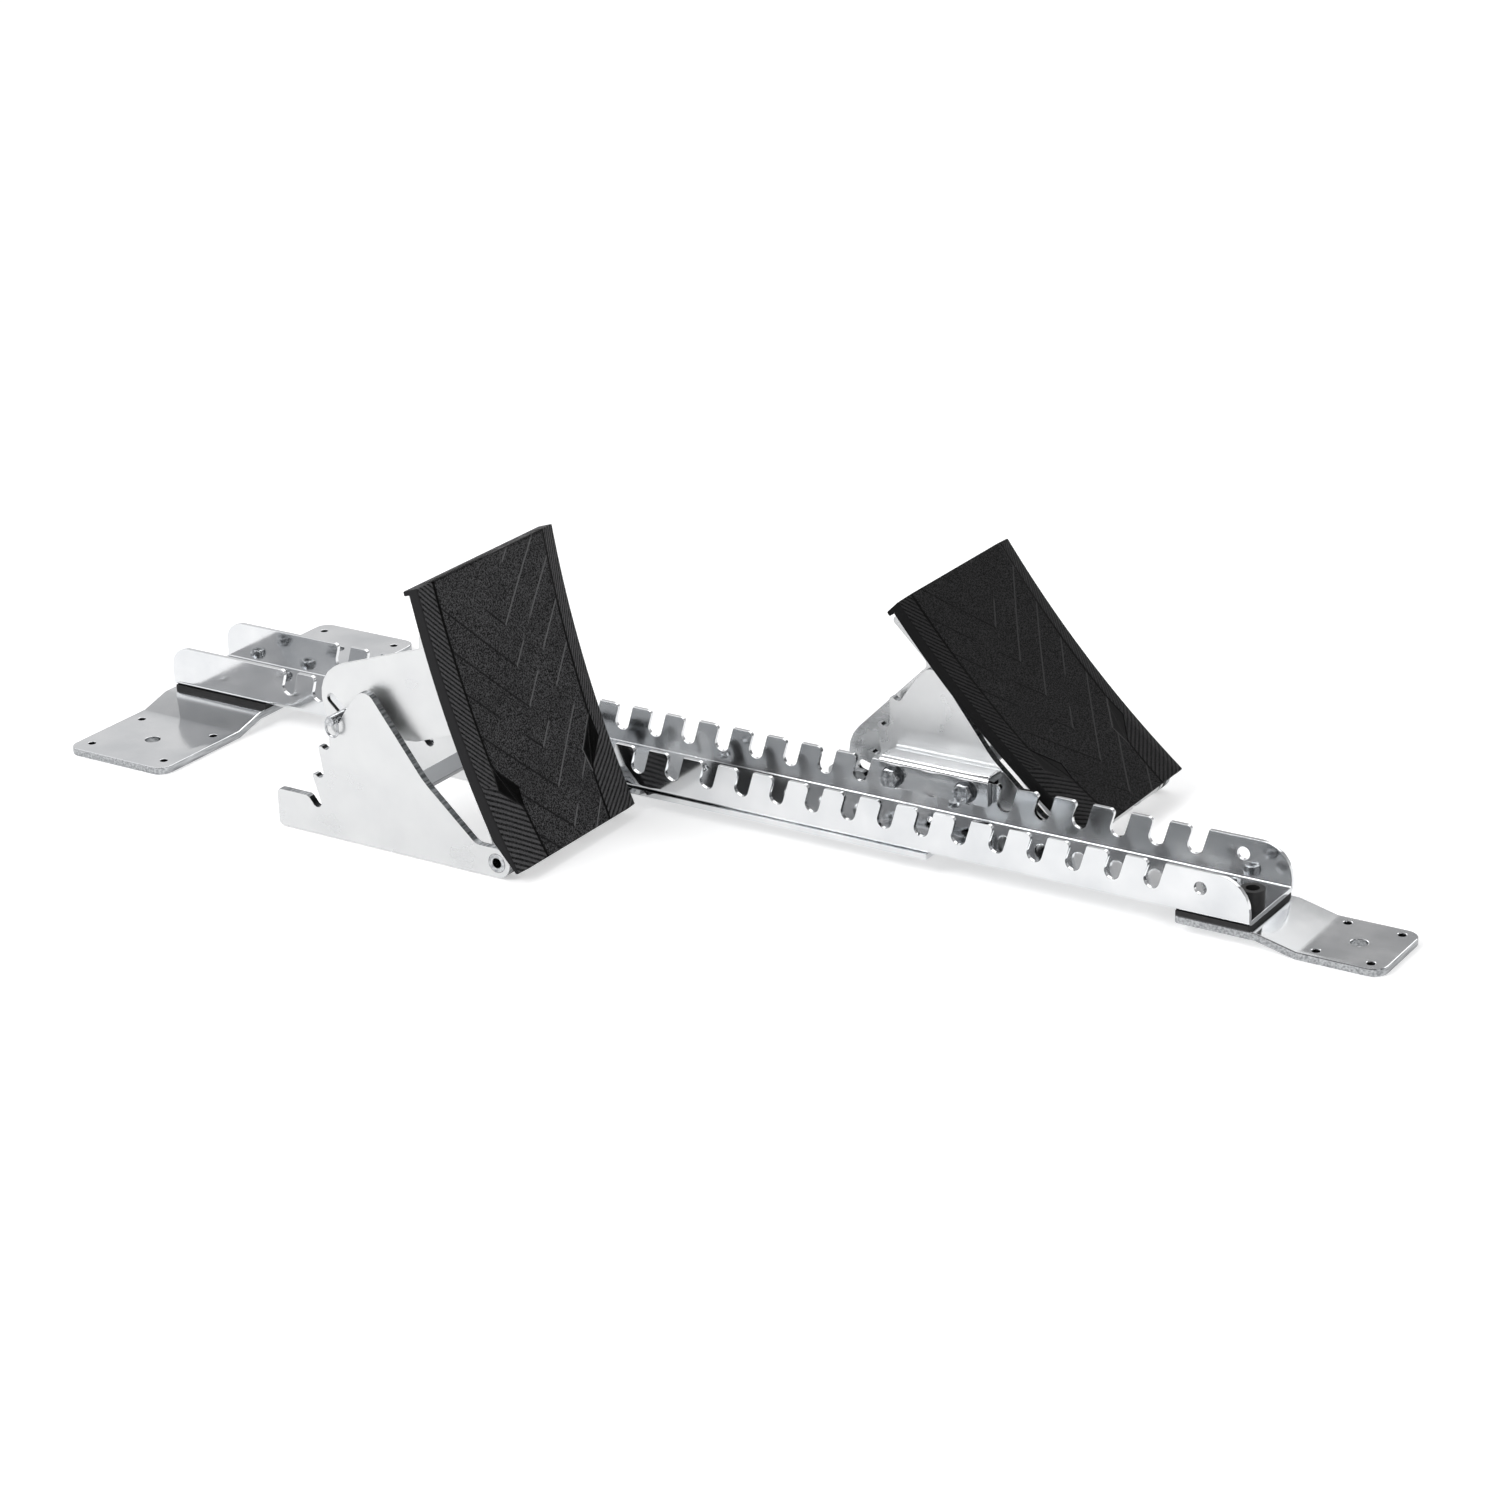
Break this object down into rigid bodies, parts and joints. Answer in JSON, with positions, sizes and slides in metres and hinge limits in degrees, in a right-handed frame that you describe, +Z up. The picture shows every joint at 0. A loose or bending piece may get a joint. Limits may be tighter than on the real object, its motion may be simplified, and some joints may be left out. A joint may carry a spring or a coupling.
{
  "type": "track starting blocks",
  "caption": "Track starting blocks: a notched steel rail on spiked anchor plates, with two foot blocks whose rubber-faced pedals tilt in steps on a cross pin.",
  "frame": {"origin": "on the ground under the middle of the overall length, on the rail's centre plane", "axes": "+X the running direction along the rail, +Y to the runner's left (the front block's side), +Z up"},
  "size_m": [0.881, 0.3344, 0.1806],
  "materials": {
    "zinc": "bright zinc plate, near mirror",
    "plate": "satin plated sheet",
    "hardware": "zinc plated fasteners",
    "dark_bar": "dark satin",
    "pad": "moulded, fine pebble grain",
    "gasket": "matte",
    "spacer": "matte"
  },
  "bodies": {
    "track_rail": {"rail": "zinc", "rail_doubler": "zinc", "doubler_rivets": "hardware", "rear_anchor_plate": "zinc", "rear_anchor_gasket": "gasket", "rear_anchor_screws": "hardware", "front_anchor_plate": "zinc", "front_anchor_gasket": "gasket", "front_anchor_screws": "hardware", "front_post": "hardware", "front_post_sleeve": "gasket"},
    "rear_block": {"rear_outer_plate": "plate", "rear_inner_plate": "plate", "rear_saddle": "zinc", "rear_cross_bar": "dark_bar", "rear_clamp_bolts": "hardware", "rear_clamp_washers": "hardware", "rear_clamp_nuts": "hardware", "rear_notch_sleeves": "hardware", "rear_hinge_tube": "hardware", "rear_hinge_spacers": "spacer"},
    "rear_pedal": {"rear_pedal_bracket": "plate", "rear_pad": "pad", "rear_pad_screws": "hardware"},
    "rear_pin": {"rear_lock_pin": "hardware", "rear_lock_pin_rings": "hardware"},
    "front_block": {"front_outer_plate": "plate", "front_inner_plate": "plate", "front_saddle": "zinc", "front_cross_bar": "dark_bar", "front_clamp_bolts": "hardware", "front_clamp_washers": "hardware", "front_clamp_nuts": "hardware", "front_notch_sleeves": "hardware", "front_hinge_tube": "hardware", "front_hinge_spacers": "spacer"},
    "front_pedal": {"front_pedal_bracket": "plate", "front_pad": "pad", "front_pad_screws": "hardware"},
    "front_pin": {"front_lock_pin": "hardware", "front_lock_pin_rings": "hardware"}
  },
  "joints": [
    {"name": "rear_block_lift", "type": "slide", "parent": "track_rail", "child": "rear_block", "axis": [0.2924, 0, 0.9563], "range_m": [0, 0.04]},
    {"name": "rear_pedal_tilt", "type": "hinge", "parent": "rear_block", "child": "rear_pedal", "pos_m": [-0.07333, -0.099, 0.01], "axis": [0, 1, 0], "range_deg": [0, 24]},
    {"name": "rear_pin_slide", "type": "slide", "parent": "rear_pedal", "child": "rear_pin", "axis": [-0.7501, 0, 0.6613], "range_m": [0, 0.012]},
    {"name": "front_block_lift", "type": "slide", "parent": "track_rail", "child": "front_block", "axis": [0.2924, 0, 0.9563], "range_m": [0, 0.04]},
    {"name": "front_pedal_tilt", "type": "hinge", "parent": "front_block", "child": "front_pedal", "pos_m": [0.20607, 0.099, 0.01], "axis": [0, 1, 0], "range_deg": [0, 8.67]},
    {"name": "front_pin_slide", "type": "slide", "parent": "front_pedal", "child": "front_pin", "axis": [-0.9641, 0, 0.2654], "range_m": [0, 0.012]}
  ],
  "couplings": [
    {"joint": "front_pin_slide", "follows": "front_pedal_tilt", "m_per_rad": 0.0793}
  ]
}
